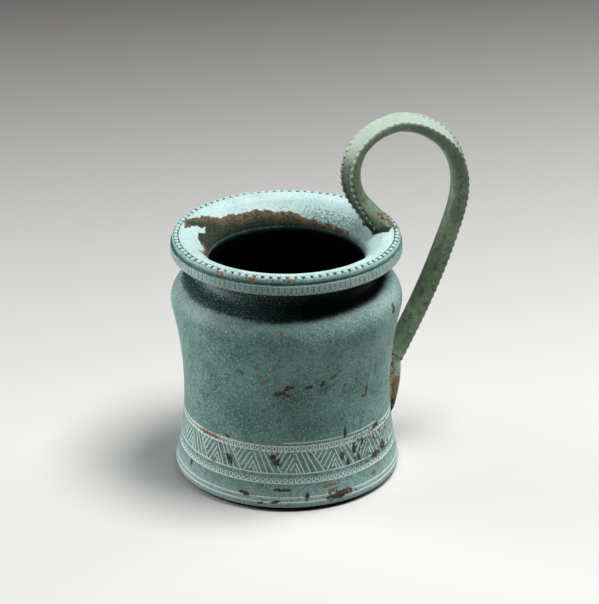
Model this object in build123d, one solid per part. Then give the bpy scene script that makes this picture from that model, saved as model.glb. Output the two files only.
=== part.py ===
from build123d import *
from math import acos, atan2, cos, hypot, radians, sin, sqrt
import os

# A kyathos: a small cast bronze dipping cup with one high looped strap handle.
# Millimetres, +Z up. The cup stands on Z = 0 with its axis on Z, and the handle lies in
# the XZ plane on the +X side.

# Cup: heights
rim_top = 90.0
shoulder_drop = 24.3
waist_z = 30.8
foot_z = 2.95

# Cup: radii
waist_r = 37.1
shoulder_out = 4.1
foot_out = 3.4
neck_r = 31.0
throat_r = 27.9
rim_r = 41.0

# Cup: roundings and walls
shoulder_round = 9.0
foot_round = 3.0
neck_round = 4.0
lip_round = 5.0
throat_round = 2.4
wall = 1.5

# Rim: a plain band, a groove and a beaded edge that stands above the lip
band_drop = 2.8
underside_drop = 6.1
groove_depth = 0.8
bead_r = 0.8
bead_rise = 0.3
lip_flat = 1.5

# Turned lines: the frames of the engraved frieze, and two lines on the foot
line_depth = 0.2
line_half = 0.3
foot_line_z = 3.9
foot_line_gap = 1.6
frieze_z = 10.7
ring_row = 2.0
frame_gap = 1.4
zigzag = 8.2
scribe_gap = 1.3

# Floor: a separate disc let in from below and soldered round its edge
foot_ring = 1.4
floor_t = 1.8
floor_gap = 0.2
ledge = 1.1
ledge_t = 1.2
haunch = 1.8
turned_ring_r = 9.0
turned_ring_step = 9.0
turned_ring_count = 3
turned_ring_cut = 0.5

# Handle strap: flat outer face between two raised borders, rounded inner face
strap_w = 10.2
strap_t = 6.0
strap_side = 1.6
border_r = 0.85
channel = 0.6

# Handle line: from the rim up, over and down again, each arc tangent to the next.
# The lean and the turns are angles in degrees.
root_inset = 8.3
root_sink = 5.7
root_run = 13.5
root_lean = 32.9
root_t = 7.9
root_side = 5.0
root_spread = 9.5
root_bend = 22.0
back_bend = 20.6
top_bend = 28.5
knee_bend = 39.1
knee_turn = 19.8
leg_bend = 254.0
leg_turn = 10.2

# Handle foot: a pointed leaf, flat behind, on a bed of solder
leaf_tip_z = 11.5
leaf_t = 4.4
leaf_low_t = 2.1
leaf_tip_t = 0.9
leaf_low_rise = 4.5
leaf_neck_w = 9.0
leaf_w = 10.0
leaf_widest_drop = 8.0
leaf_belly = 0.62
ankle_rise = 2.0

# Solder
rim_bed = 0.3
leaf_bed = 0.5
solder_lip = 0.5


# Circles of the outer wall, each tangent to its neighbours
shoulder_z = rim_top - shoulder_drop
shoulder_c = (waist_r + shoulder_out - shoulder_round, shoulder_z)
foot_c = (waist_r + foot_out - foot_round, foot_z)


def waist_radius(corner, corner_round):
    """Radius of the hollow arc that is upright at the waist and meets a rounded corner."""
    a = waist_r - corner[0]
    b = waist_z - corner[1]
    return (a * a + b * b - corner_round**2) / (2 * (corner_round - a))


low_r = waist_radius(foot_c, foot_round)
high_r = waist_radius(shoulder_c, shoulder_round)
low_c = (waist_r + low_r, waist_z)
high_c = (waist_r + high_r, waist_z)
neck_x = neck_r + neck_round
neck_rise = sqrt((shoulder_round + neck_round) ** 2 - (neck_x - shoulder_c[0]) ** 2)
neck_c = (neck_x, shoulder_z + neck_rise)


def wall_at(z):
    """Outer radius of the wall at a height below the shoulder."""
    if z < waist_z:
        return low_c[0] - sqrt(low_r**2 - (z - waist_z) ** 2)
    return high_c[0] - sqrt(high_r**2 - (z - waist_z) ** 2)


def touch(c1, r1, c2, r2):
    """Point where two circles that stand outside each other touch."""
    share = r1 / (r1 + r2)
    return (c1[0] + (c2[0] - c1[0]) * share, c1[1] + (c2[1] - c1[1]) * share)


def arc(centre, start, end):
    """Arc about a centre, shorter than half a turn."""
    radius = hypot(start[0] - centre[0], start[1] - centre[1])
    mx = start[0] + end[0] - 2 * centre[0]
    my = start[1] + end[1] - 2 * centre[1]
    scale = radius / hypot(mx, my)
    return ThreePointArc(start, (centre[0] + mx * scale, centre[1] + my * scale), end)


def turned(edges):
    """Solid of revolution about Z from a closed outline drawn as radius and height."""
    outline = make_face(Wire(list(edges)))
    return revolve(Plane.XZ * outline, Axis.Z, 360)


def polyline(*points):
    """Straight edges through the points."""
    return [Line(a, b) for a, b in zip(points, points[1:])]


# Cup
groove_r = rim_r - groove_depth
bead_c = (groove_r - bead_r, rim_top + bead_rise - bead_r)
bead_in = bead_c[0] - sqrt(bead_r**2 - (bead_r - bead_rise) ** 2)
lip_x = bead_c[0] - bead_r - lip_flat
bell = min(lip_round, 0.9 * (lip_x - throat_r))
bell_run = lip_x - throat_r - bell
bell_out = bell * sin(radians(45))
bell_in = bell - bell_out
seat_r = foot_c[0] + sqrt(foot_round**2 - foot_z**2) - foot_ring
ledge_r = seat_r - ledge


def outer_edges():
    """Outside of the cup, from the foot's resting edge up to the rim's lower corner."""
    rest = (seat_r + foot_ring, 0)
    heel = touch(foot_c, foot_round, low_c, low_r)
    waist = (waist_r, waist_z)
    chest = touch(shoulder_c, shoulder_round, high_c, high_r)
    crown = touch(shoulder_c, shoulder_round, neck_c, neck_round)
    corner = (rim_r, rim_top - underside_drop)
    reach = hypot(corner[0] - neck_c[0], corner[1] - neck_c[1])
    aim = atan2(corner[1] - neck_c[1], corner[0] - neck_c[0])
    turn = aim + acos(neck_round / reach)
    under = (neck_c[0] + neck_round * cos(turn), neck_c[1] + neck_round * sin(turn))
    return [
        arc(foot_c, rest, heel),
        arc(low_c, heel, waist),
        arc(high_c, waist, chest),
        arc(shoulder_c, chest, crown),
        ThreePointArc(crown, (neck_r, neck_c[1]), under),
        Line(under, corner),
    ]


def rim_edges():
    """Band, groove, beaded edge, lip and bell mouth, down to the throat."""
    lip_c = (lip_x, rim_top - bell)
    upper = (lip_x - bell_out, rim_top - bell_in)
    lower = (upper[0] - bell_run, upper[1] - bell_run)
    throat_c = (throat_r + bell, lower[1] - bell_out)
    bead_top = (bead_c[0], bead_c[1] + bead_r)
    band = polyline(
        (rim_r, rim_top - underside_drop),
        (rim_r, rim_top - band_drop),
        (groove_r, rim_top - band_drop + groove_depth / 2),
        (groove_r, bead_c[1]),
    )
    return band + [
        arc(bead_c, (groove_r, bead_c[1]), bead_top),
        arc(bead_c, bead_top, (bead_in, rim_top)),
        Line((bead_in, rim_top), (lip_x, rim_top)),
        arc(lip_c, (lip_x, rim_top), upper),
        Line(upper, lower),
        arc(throat_c, lower, (throat_r, throat_c[1])),
    ]


def core():
    """The cup's outside filled solid, for fitting what lies against the wall."""
    top_z = rim_top - underside_drop
    closing = polyline((rim_r, top_z), (0, top_z), (0, 0), (seat_r + foot_ring, 0))
    return turned(outer_edges() + closing)


def inner_edges():
    """Inside of the cup, from the throat down to the ledge and the floor's seat."""
    ceiling = shoulder_c[1] + shoulder_round - wall
    under_lip = min(throat_round, 0.9 * (shoulder_c[0] - throat_r))
    throat_low = (throat_r, ceiling + under_lip)
    throat_end = (throat_r + under_lip, ceiling)
    vault = (shoulder_c[0], ceiling)
    chest = touch(shoulder_c, shoulder_round - wall, high_c, high_r + wall)
    waist = (waist_r - wall, waist_z)
    ledge_z = floor_t + floor_gap
    low_z = ledge_z + ledge_t + haunch
    low_x = low_c[0] - sqrt((low_r + wall) ** 2 - (low_z - waist_z) ** 2)
    return [
        Line((throat_r, rim_top - bell - bell_run), throat_low),
        arc((throat_end[0], throat_low[1]), throat_low, throat_end),
        Line(throat_end, vault),
        arc(shoulder_c, vault, chest),
        arc(high_c, chest, waist),
        arc(low_c, waist, (low_x, low_z)),
    ] + polyline(
        (low_x, low_z),
        (ledge_r, ledge_z + ledge_t),
        (ledge_r, ledge_z),
        (seat_r, ledge_z),
        (seat_r, 0),
        (seat_r + foot_ring, 0),
    )


def turned_line(z):
    """Shallow V-shaped ring cut round the wall."""
    r = wall_at(z)
    mouth = r + line_depth
    return turned(polyline((mouth, z - line_half), (r - line_depth, z), (mouth, z + line_half),
                           (mouth, z - line_half)))


lower_frame = frieze_z + ring_row + frame_gap
upper_frame = lower_frame + zigzag
line_heights = [
    foot_line_z,
    foot_line_z + foot_line_gap,
    frieze_z,
    frieze_z + ring_row,
    lower_frame,
    upper_frame,
    upper_frame + ring_row,
    upper_frame + ring_row + scribe_gap,
]

cup = turned(outer_edges() + rim_edges() + inner_edges())
for height in line_heights:
    cup -= turned_line(height)

# Floor disc, turned with rings underneath, and the solder that holds it
floor_r = seat_r - floor_gap
floor_disc = turned(polyline((0, 0), (floor_r, 0), (floor_r, floor_t), (0, floor_t), (0, 0)))
for ring in range(turned_ring_count):
    floor_disc -= Torus(turned_ring_r + ring * turned_ring_step, turned_ring_cut)

floor_solder = turned(polyline(
    (ledge_r, floor_t),
    (floor_r, floor_t),
    (floor_r, floor_gap),
    (seat_r, floor_gap),
    (seat_r, floor_t + floor_gap),
    (ledge_r, floor_t + floor_gap),
    (ledge_r, floor_t),
))


# Handle
def strap_section(thickness, side, grow=0.0, spread=0.0):
    """Cross-section of the strap: x across, y = 0 at the top of the raised borders."""
    half = strap_w / 2 + grow
    low_half = half + spread
    rib_x = strap_w / 2 - border_r
    rib_foot = rib_x - sqrt(border_r**2 - (border_r - channel) ** 2)
    right = ThreePointArc((half, grow - border_r), (rib_x, grow), (rib_foot, grow - channel))
    left = ThreePointArc((-rib_foot, grow - channel), (-rib_x, grow), (-half, grow - border_r))
    floor = Line((rib_foot, grow - channel), (-rib_foot, grow - channel))
    back = ThreePointArc((-low_half, -side), (0, -thickness - grow), (low_half, -side))
    left_side = Line((-half, grow - border_r), (-low_half, -side))
    right_side = Line((low_half, -side), (half, grow - border_r))
    return make_face(Wire([right, floor, left, left_side, back, right_side]))


def across(point, heading):
    """Plane square to the handle's line, with its y axis towards the outer face."""
    return Plane(origin=(point[0], 0, point[1]), x_dir=(0, 1, 0), z_dir=(heading[0], 0, heading[1]))


root_dir = (-sin(radians(root_lean)), cos(radians(root_lean)))
root_start = (rim_r - root_inset, rim_top - root_sink)
root_end = (root_start[0] + root_run * root_dir[0], root_start[1] + root_run * root_dir[1])
seat_leaf_r = wall_at(leaf_tip_z) + leaf_bed
heel_x = seat_leaf_r + leaf_t

rise = JernArc(root_end, root_dir, root_bend, -root_lean)
back = JernArc(rise @ 1, rise % 1, back_bend, -90)
top = JernArc(back @ 1, back % 1, top_bend, -90)
knee = JernArc(top @ 1, top % 1, knee_bend, -knee_turn)
leg = JernArc(knee @ 1, knee % 1, leg_bend, -leg_turn)
leg_end = leg @ 1
leg_dir = leg % 1
run = (leg_end.X - heel_x) / -leg_dir.X
heel = (heel_x, leg_end.Y + run * leg_dir.Y)
shank = Line(leg_end, heel)
bow_line = Plane.XZ * Wire([rise, back, top, knee, leg, shank])


def root_block(grow):
    """Root of the strap, run down into the rim: thicker there, and spread along the rim's edge."""
    low = across(root_start, root_dir) * strap_section(root_t, root_side, grow, root_spread)
    high = across(root_end, root_dir) * strap_section(strap_t, strap_side, grow)
    return loft([low, high], ruled=True)


def rim_seat(outer_r):
    """The rim's top and bell mouth, raised by the solder's thickness, out to a radius."""
    lip_c = (lip_x, rim_top - bell)
    top_z = rim_top + bead_rise + rim_bed
    grown = bell + bead_rise + rim_bed
    upper = (lip_x - grown * sin(radians(45)), lip_c[1] + grown * cos(radians(45)))
    lower = (upper[0] - bell_run, upper[1] - bell_run)
    base_z = rim_top - underside_drop
    return turned([
        Line((outer_r, base_z), (outer_r, top_z)),
        Line((outer_r, top_z), (lip_x, top_z)),
        arc(lip_c, (lip_x, top_z), upper),
        Line(upper, lower),
        Line(lower, (lower[0], base_z)),
        Line((lower[0], base_z), (outer_r, base_z)),
    ])


def leaf_block(grow):
    """Pointed leaf: its side view swept across, cut to its front view."""
    tip = (seat_leaf_r + leaf_tip_t, leaf_tip_z - grow)
    low = (seat_leaf_r + leaf_low_t, leaf_tip_z + leaf_low_rise)
    ankle_z = heel[1] + ankle_rise
    side = make_face(Wire(polyline(
        (0, tip[1]),
        tip,
        low,
        (heel_x, heel[1]),
        (heel_x, ankle_z),
        (0, ankle_z),
        (0, tip[1]),
    )))
    widest_z = heel[1] - leaf_widest_drop
    neck_half = leaf_neck_w / 2 + grow
    half = leaf_w / 2 + grow
    belly = (half * leaf_belly, leaf_tip_z + (widest_z - leaf_tip_z) * (1 - leaf_belly))
    front = make_face(Wire([
        ThreePointArc((half, widest_z), belly, (0, tip[1])),
        ThreePointArc((0, tip[1]), (-belly[0], belly[1]), (-half, widest_z)),
        Line((-half, widest_z), (-neck_half, ankle_z)),
        Line((-neck_half, ankle_z), (neck_half, ankle_z)),
        Line((neck_half, ankle_z), (half, widest_z)),
    ]))
    swept = extrude(Plane.XZ * side, strap_w, both=True)
    cut = extrude(Plane.YZ * front, rim_r + strap_w)
    return swept & cut


leaf_seat = Cylinder(seat_leaf_r, rim_top, align=(Align.CENTER, Align.CENTER, Align.MIN))
bow = sweep(across(root_end, root_dir) * strap_section(strap_t, strap_side), path=bow_line)
root = root_block(0) - rim_seat(rim_r + strap_w)
leaf = leaf_block(0) - leaf_seat
handle = bow + root + leaf

rim_solder = (root_block(solder_lip) & rim_seat(rim_r)) - cup
leaf_solder = (leaf_block(solder_lip) & leaf_seat) - core() - handle

nodes = {
    "cup": cup,
    "floor_disc": floor_disc,
    "floor_solder": floor_solder,
    "handle": handle,
    "rim_solder": rim_solder,
    "leaf_solder": leaf_solder,
}
os.makedirs("parts", exist_ok=True)
for name, shape in nodes.items():
    export_step(shape, f"parts/{name}.step")
    box = shape.bounding_box()
    print(name, len(shape.solids()), "solid,", round(shape.volume), "mm3,",
          [round(v, 1) for v in (*box.min, *box.max)])
print("heel", [round(v, 2) for v in heel], "straight run", round(run, 1))
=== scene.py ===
# %% [markdown]
# # A bronze kyathos
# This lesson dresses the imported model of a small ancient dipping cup. The construction already
# stands in the frame at its real size: a cup, a floor disc, a looped strap handle and the solder
# between them. The cells below keep every one of those places and add what the eye needs: the
# engraved band, the beads, the patina, the crusts and the light.

# %% Load the frame
from math import acos, atan, atan2, cos, hypot, pi, radians, sin, sqrt

import bpy
import numpy as np
from mathutils import Matrix, Vector, noise


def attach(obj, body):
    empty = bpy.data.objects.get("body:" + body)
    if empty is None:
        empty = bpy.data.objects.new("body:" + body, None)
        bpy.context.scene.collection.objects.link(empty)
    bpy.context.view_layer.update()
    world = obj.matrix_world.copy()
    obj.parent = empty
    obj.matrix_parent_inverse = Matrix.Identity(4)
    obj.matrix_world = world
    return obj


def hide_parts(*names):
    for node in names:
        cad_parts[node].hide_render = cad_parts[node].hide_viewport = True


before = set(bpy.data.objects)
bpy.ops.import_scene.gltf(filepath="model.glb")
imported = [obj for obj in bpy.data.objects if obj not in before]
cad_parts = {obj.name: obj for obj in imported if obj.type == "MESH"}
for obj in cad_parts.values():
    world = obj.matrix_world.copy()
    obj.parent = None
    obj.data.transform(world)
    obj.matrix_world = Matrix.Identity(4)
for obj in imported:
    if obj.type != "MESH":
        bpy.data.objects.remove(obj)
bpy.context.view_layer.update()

MM = 0.001
scene = bpy.context.scene
print("frame holds", sorted(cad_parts))

# %% [markdown]
# ## The camera
# A photographer's long lens looks down at the cup from a quarter of a right angle. The stand was
# worked out from the two ellipses of rim and foot, so it is a real distance and not a guess. The
# camera first looks straight at a point on the cup's axis, and then turns by a hair, so that this
# point falls off the middle of the picture as it does in the photograph.

# %% Camera
IMAGE_HEIGHT = 604
AIM_POINT = Vector((0, 0, 40)) * MM
CAMERA_PLACE = Vector((-329.3, -904.8, 501.1)) * MM
FOCAL_PIXELS = 2969.5
AIM_RIGHT = -12.85
AIM_DOWN = 58.4
ROLL = radians(-0.24)
SENSOR = 36


def put_in_scene(name, data):
    """New object in the scene, around a mesh, a lens or a light."""
    made = bpy.data.objects.new(name, data)
    scene.collection.objects.link(made)
    return made


lens = bpy.data.cameras.new("long_lens")
lens.sensor_width = SENSOR
lens.lens = FOCAL_PIXELS * SENSOR / IMAGE_HEIGHT
camera = put_in_scene("camera", lens)
straight = (AIM_POINT - CAMERA_PLACE).to_track_quat("-Z", "Y").to_matrix()
pitch = Matrix.Rotation(atan(AIM_DOWN / FOCAL_PIXELS), 3, "X")
yaw = Matrix.Rotation(atan(AIM_RIGHT / FOCAL_PIXELS), 3, "Y")
roll = Matrix.Rotation(ROLL, 3, "Z")
camera.matrix_world = Matrix.Translation(CAMERA_PLACE) @ (straight @ yaw @ pitch @ roll).to_4x4()
scene.camera = camera
print("lens", round(lens.lens, 1), "mm")

# %% [markdown]
# ## Small tools
# Every cell after this one works in millimetres and in angles from the side that faces the
# camera. The helpers are few: one turns a hex colour to linear light, one adds a node with its
# settings and links, some read and write the points of a mesh, and one turns an outline into a
# closed ring.

# %% Colours and nodes
FRONT = radians(-110)


def linear(hex_colour):
    """A colour written as sRGB hex, as the linear RGBA that shaders use."""
    parts = [int(hex_colour[i:i + 2], 16) / 255 for i in (1, 3, 5)]
    return tuple(p / 12.92 if p < 0.04045 else ((p + 0.055) / 1.055) ** 2.4 for p in parts) + (1,)


def add(tree, kind, inputs=None, give=None, **settings):
    """Adds a node, sets and links it, and returns one of its outputs."""
    made = tree.nodes.new(kind)
    for name, value in settings.items():
        setattr(made, name, value)
    for key, value in (inputs or {}).items():
        live = [s for s in made.inputs if s.enabled]
        socket = live[key] if isinstance(key, int) else next(s for s in live if s.name == key)
        if isinstance(value, bpy.types.NodeSocket):
            tree.links.new(value, socket)
        else:
            socket.default_value = value
    live = [s for s in made.outputs if s.enabled]
    if not live:
        return made
    return live[0] if give is None else next(s for s in live if s.name == give)


# %% Meshes
def new_piece(name, points, faces):
    """Smooth mesh object from points in millimetres."""
    mesh = bpy.data.meshes.new(name)
    mesh.from_pydata((np.asarray(points) * MM).tolist(), [], faces, shade_flat=False)
    return put_in_scene(name, mesh)


def grid_faces(rows, columns, close_rows=True, close_columns=True):
    """Quads over a grid of points, rows by columns, joined up where it closes on itself."""
    i = np.arange(rows if close_rows else rows - 1)[:, None]
    j = np.arange(columns if close_columns else columns - 1)[None, :]
    a, b = i * columns + j, i * columns + (j + 1) % columns
    c, d = (i + 1) % rows * columns + (j + 1) % columns, (i + 1) % rows * columns + j
    return np.stack([a, b, c, d], -1).reshape(-1, 4).tolist()


def points_of(piece):
    """The points of a piece in millimetres."""
    flat = np.empty(len(piece.data.vertices) * 3)
    piece.data.vertices.foreach_get("co", flat)
    return flat.reshape(-1, 3) / MM


def move_points(piece, points):
    """Moves the points of a piece to places in millimetres."""
    piece.data.vertices.foreach_set("co", (points * MM).ravel())


def write_on_points(piece, values):
    """Writes named numbers on the points of a piece, where its material reads them."""
    for label, numbers in values.items():
        piece.data.attributes.new(label, "FLOAT", "POINT").data.foreach_set("value", numbers)


def finished_mesh(piece):
    """Plain mesh of a piece with its modifiers worked in."""
    graph = bpy.context.evaluated_depsgraph_get()
    return bpy.data.meshes.new_from_object(piece.evaluated_get(graph))


def sharpen(piece, sharp_points):
    """Marks the edges whose two ends are both sharp points."""
    ends = np.empty(len(piece.data.edges) * 2, int)
    piece.data.edges.foreach_get("vertices", ends)
    ends = ends.reshape(-1, 2)
    sharp = sharp_points[ends[:, 0]] & sharp_points[ends[:, 1]]
    mark = piece.data.attributes.new("sharp_edge", "BOOLEAN", "EDGE")
    mark.data.foreach_set("value", sharp)


# %% Outlines
def arc_points(centre, start, end, step):
    """Points along the shorter arc about a centre, without its last point."""
    a0 = atan2(start[1] - centre[1], start[0] - centre[0])
    turn = (atan2(end[1] - centre[1], end[0] - centre[0]) - a0 + pi) % (2 * pi) - pi
    radius = hypot(start[0] - centre[0], start[1] - centre[1])
    count = max(2, round(abs(turn) * radius / step))
    angles = [a0 + turn * k / count for k in range(count)]
    return [(centre[0] + radius * cos(a), centre[1] + radius * sin(a)) for a in angles]


def line_points(start, end, step):
    """Points along a straight line, without its last point."""
    count = max(1, round(hypot(end[0] - start[0], end[1] - start[1]) / step))
    share = [k / count for k in range(count)]
    return [(start[0] + (end[0] - start[0]) * s, start[1] + (end[1] - start[1]) * s) for s in share]


CORNER_TURN = radians(32)


def turned_ring(name, outline, columns):
    """Closed ring: an outline of radius and height turned about the cup's axis."""
    r, z = np.array(outline).T
    angle = np.arange(columns) * 2 * pi / columns
    points = np.stack([np.outer(r, np.cos(angle)), np.outer(r, np.sin(angle)),
                       np.repeat(z[:, None], columns, 1)], -1).reshape(-1, 3)
    piece = new_piece(name, points, grid_faces(len(outline), columns))
    heading = np.unwrap(np.arctan2(np.roll(z, -1) - z, np.roll(r, -1) - r))
    turn = np.abs((heading - np.roll(heading, 1) + pi) % (2 * pi) - pi)
    sharpen(piece, np.repeat(turn > CORNER_TURN, columns))
    print(name, len(outline), "rows of", columns)
    return piece


# %% [markdown]
# ## The cup's outline
# The cup is one casting that was trued on a lathe, so one outline tells its whole shape: a
# hollow side between a rounded foot and a round shoulder, a tight neck, a heavy rim and a bell
# mouth. The sizes repeat the construction's own, in millimetres. Each arc touches the next one
# without a corner, so only a few numbers are needed and the rest is worked out from them.

# %% Driving sizes of the cup
rim_top, shoulder_z, waist_z, foot_z = 90.0, 65.7, 30.8, 2.95
waist_r, shoulder_r, foot_r, neck_r, throat_r, rim_r = 37.1, 41.2, 40.5, 31.0, 27.9, 41.0
shoulder_round, foot_round, neck_round, lip_round = 9.0, 3.0, 4.0, 5.0
wall, throat_round = 1.5, 2.4
rest_r, seat_r, ledge_r = 38.05, 36.65, 35.55
floor_top, ledge_top, haunch_top = 2.0, 3.2, 5.0
band_top, band_low = 87.2, 83.9

foot_c = (foot_r - foot_round, foot_z)
shoulder_c = (shoulder_r - shoulder_round, shoulder_z)


def waist_arc(corner, corner_round):
    """Centre and radius of the hollow arc from the waist to a rounded corner."""
    a, b = waist_r - corner[0], waist_z - corner[1]
    radius = (a * a + b * b - corner_round**2) / (2 * (corner_round - a))
    return (waist_r + radius, waist_z), radius


def touch(c1, r1, c2, r2):
    """Point where two circles outside each other touch."""
    share = r1 / (r1 + r2)
    return c1[0] + (c2[0] - c1[0]) * share, c1[1] + (c2[1] - c1[1]) * share


low_c, low_r = waist_arc(foot_c, foot_round)
high_c, high_r = waist_arc(shoulder_c, shoulder_round)
neck_x = neck_r + neck_round
neck_c = (neck_x, shoulder_z + sqrt((shoulder_round + neck_round) ** 2 - (neck_x - shoulder_c[0]) ** 2))
heel_point = touch(foot_c, foot_round, low_c, low_r)
chest_point = touch(shoulder_c, shoulder_round, high_c, high_r)
crown_point = touch(shoulder_c, shoulder_round, neck_c, neck_round)


def wall_at(z, depth=0.0):
    """Radius of the hollow side at a height, or of the inner wall at a depth below it."""
    centre, radius = (low_c, low_r) if z < waist_z else (high_c, high_r)
    return centre[0] - sqrt((radius + depth) ** 2 - (z - waist_z) ** 2)


def wall_points(z0, z1, step, depth=0.0):
    """Points on the hollow side between two heights, without the last one."""
    count = max(1, round(abs(z1 - z0) / step))
    heights = [z0 + (z1 - z0) * k / count for k in range(count)]
    return [(wall_at(z, depth), z) for z in heights]


print("side arcs", round(low_r, 1), round(high_r, 1), "mm")

# %% [markdown]
# ## What time left on it
# The stains are the cup's own: a line of brown specks round the belly, crust in the engraving
# and on the foot, and a large patch of brown and olive earth inside the mouth. Each is a soft
# spot, written once as angle, height and size. The spots become numbers on the mesh, and the
# material later breaks them up into ragged edges.

# %% Stains
# Angle from the camera's side in degrees, then height, half width, half height and rise in mm
EARTH_SPOTS = [
    (-5.3, 45.0, 1.5, 0.8, 0.1), (-2.2, 45.4, 1.6, 0.9, 0.2), (-0.1, 47.2, 1.0, 1.3, 0.3),
    (2.4, 47.7, 1.0, 0.6, 0.0), (0.4, 44.6, 0.9, 0.8, 0.0), (11.4, 47.3, 1.7, 0.8, 0.3),
    (19.3, 48.2, 1.4, 1.1, 0.4), (23.8, 49.9, 2.0, 0.5, 0.5), (32.6, 45.8, 0.8, 0.7, 0.0),
    (39.5, 46.8, 0.6, 0.6, 0.0), (48.4, 40.5, 0.6, 2.4, 0.4), (46.0, 38.5, 1.0, 0.8, 0.0),
    (54.8, 47.4, 0.4, 2.2, 0.0), (33.3, 26.8, 0.7, 2.0, 0.3), (-32.7, 17.1, 1.7, 1.5, -0.6),
    (-7.7, 20.1, 1.3, 1.0, 0.0), (-6.0, 18.3, 1.5, 1.1, 0.0), (-34.4, 25.5, 1.3, 0.5, -0.4),
    (30.8, 18.1, 1.0, 1.4, -0.3), (34.3, 15.4, 0.9, 1.2, 0.0), (38.7, 19.7, 0.8, 2.2, 0.3),
    (41.7, 15.9, 0.8, 1.5, 0.0), (44.9, 21.2, 0.8, 1.6, 0.0), (54.8, 13.6, 2.6, 1.4, 0.2),
    (63.1, 14.9, 2.2, 2.0, 0.0), (57.2, 24.0, 2.4, 0.9, 0.0), (66.5, 67.7, 1.6, 1.6, 0.0),
    (-2.5, 8.2, 3.6, 0.6, 0.0), (-22.8, 6.1, 2.6, 0.8, -0.2), (10.1, 5.7, 0.8, 1.7, 0.0),
    (27.6, 4.6, 5.4, 1.2, 0.1), (-5.6, 3.9, 2.4, 0.5, 0.2), (-61.2, 8.7, 0.8, 1.2, 0.0),
    (-13.7, 3.3, 1.1, 0.5, 0.0),
]
RUST_SPOTS = [
    (-12.4, 49.2, 1.2, 1.0, 0.0), (-2.7, 69.2, 0.8, 0.9, 0.0), (21.6, 8.5, 3.6, 0.6, 0.1),
    (51.3, 7.5, 1.6, 1.0, 0.0), (47.0, 39.1, 1.0, 0.7, 0.0), (32.6, 4.4, 1.6, 0.7, 0.0),
    (-47.7, 23.5, 7.0, 0.7, 0.0), (-20.8, 5.8, 1.2, 0.5, 0.0), (-43.0, 14.8, 1.4, 0.9, 0.0),
]
DEEP_SPOTS = [
    (-24.9, 52.4, 2.4, 1.2, 0.0), (-14.9, 51.8, 3.8, 0.5, -0.15), (20.8, 45.9, 3.2, 1.9, 0.0),
    (0.9, 42.9, 4.5, 2.4, 0.0), (-39.7, 19.9, 0.9, 3.0, -0.4), (-46.9, 17.8, 0.7, 2.4, -0.3),
]
# Crumbs of rust caught between the beads on the front of the rim: angle and size
CRUMB_HEIGHT = 89.3
CRUMBS = [(-36, 0.6), (-33.5, 0.8), (-20, 0.6), (-17.8, 0.9), (-16, 0.6), (-7, 0.5), (-1, 0.7),
          (1.2, 0.9), (3.6, 0.6)]
RUST_SPOTS += [(angle, CRUMB_HEIGHT, size, size, 0.0) for angle, size in CRUMBS]
# Regions of scattered crumbs: angles, heights and strength, and how softly they end
EARTH_HAZE = [(34, 76, 11, 25.5, 0.44), (12, 44, 3, 8.5, 0.42), (-32, 14, 3, 9, 0.34),
              (-58, -36, 21.5, 25.5, 0.42)]
HAZE_EDGE_DEGREES, HAZE_EDGE_MM = 6, 1.2
# The spots are drawn a little larger than they were measured, because the ragged edge eats them
SPOT_WIDER, SPOT_HIGHER = 1.15, 1.3


def around(points):
    """Radius in mm, angle from the camera's side in degrees and height in mm of each point."""
    turn = np.arctan2(points[:, 1], points[:, 0]) - FRONT
    return (np.hypot(points[:, 0], points[:, 1]), np.degrees((turn + pi) % (2 * pi) - pi),
            points[:, 2])


def haze_at(points, regions):
    """Strength of the regions of scattered crumbs at each point, soft at their borders."""
    _, turn, z = around(points)
    value = np.zeros(len(points))
    for left, right, low, top, strength in regions:
        across = np.clip(np.minimum(turn - left, right - turn) / HAZE_EDGE_DEGREES, 0, 1)
        up = np.clip(np.minimum(z - low, top - z) / HAZE_EDGE_MM, 0, 1)
        value = np.maximum(value, strength * across * up)
    return value


def spots_at(points, spots):
    """How deep each point lies in the nearest spot: 1 at its middle, 0 well outside."""
    r, turn, z = around(points)
    value = np.zeros(len(points))
    for angle, height, half_width, half_height, rise in spots:
        across = np.radians((turn - angle + 180) % 360 - 180) * r
        up = z - height - rise * across
        inner = np.exp(-(across / (SPOT_WIDER * half_width)) ** 2
                       - (up / (SPOT_HIGHER * half_height)) ** 2)
        value = np.maximum(value, inner)
    return value


print("stains:", len(EARTH_SPOTS), "of earth,", len(RUST_SPOTS), "of rust,", len(DEEP_SPOTS), "deep")

# %% [markdown]
# ## Cutting the pattern
# The engraver cut the pattern into the finished wall with a fine point. The same is done here:
# the lines are drawn first, as bare edges that lie on the wall, and a node tree then presses
# every point of the wall that is near a line inwards. It also writes down how near it was, so
# that the material can lay the pale corrosion into the grooves. What repeats, a ring, a zigzag
# or a tongue, is drawn once and set round the cup by a second tree.

# %% Tree that sets a unit round the cup
def group_with(name, sockets):
    """Geometry tree with named inputs, and its geometry output."""
    tree = bpy.data.node_groups.new(name, "GeometryNodeTree")
    for label, kind in sockets:
        tree.interface.new_socket(label, in_out="INPUT", socket_type=kind)
    tree.interface.new_socket("Geometry", in_out="OUTPUT", socket_type="NodeSocketGeometry")
    source = tree.nodes.new("NodeGroupInput")
    return tree, {s.name: s for s in source.outputs if s.name}


def close_tree(tree, geometry, material):
    """Realizes the instances, sets the material and ends the tree."""
    real = add(tree, "GeometryNodeRealizeInstances", {"Geometry": geometry})
    finished = add(tree, "GeometryNodeSetMaterial", {"Geometry": real, "Material": material})
    add(tree, "NodeGroupOutput", {"Geometry": finished})
    return tree


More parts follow.
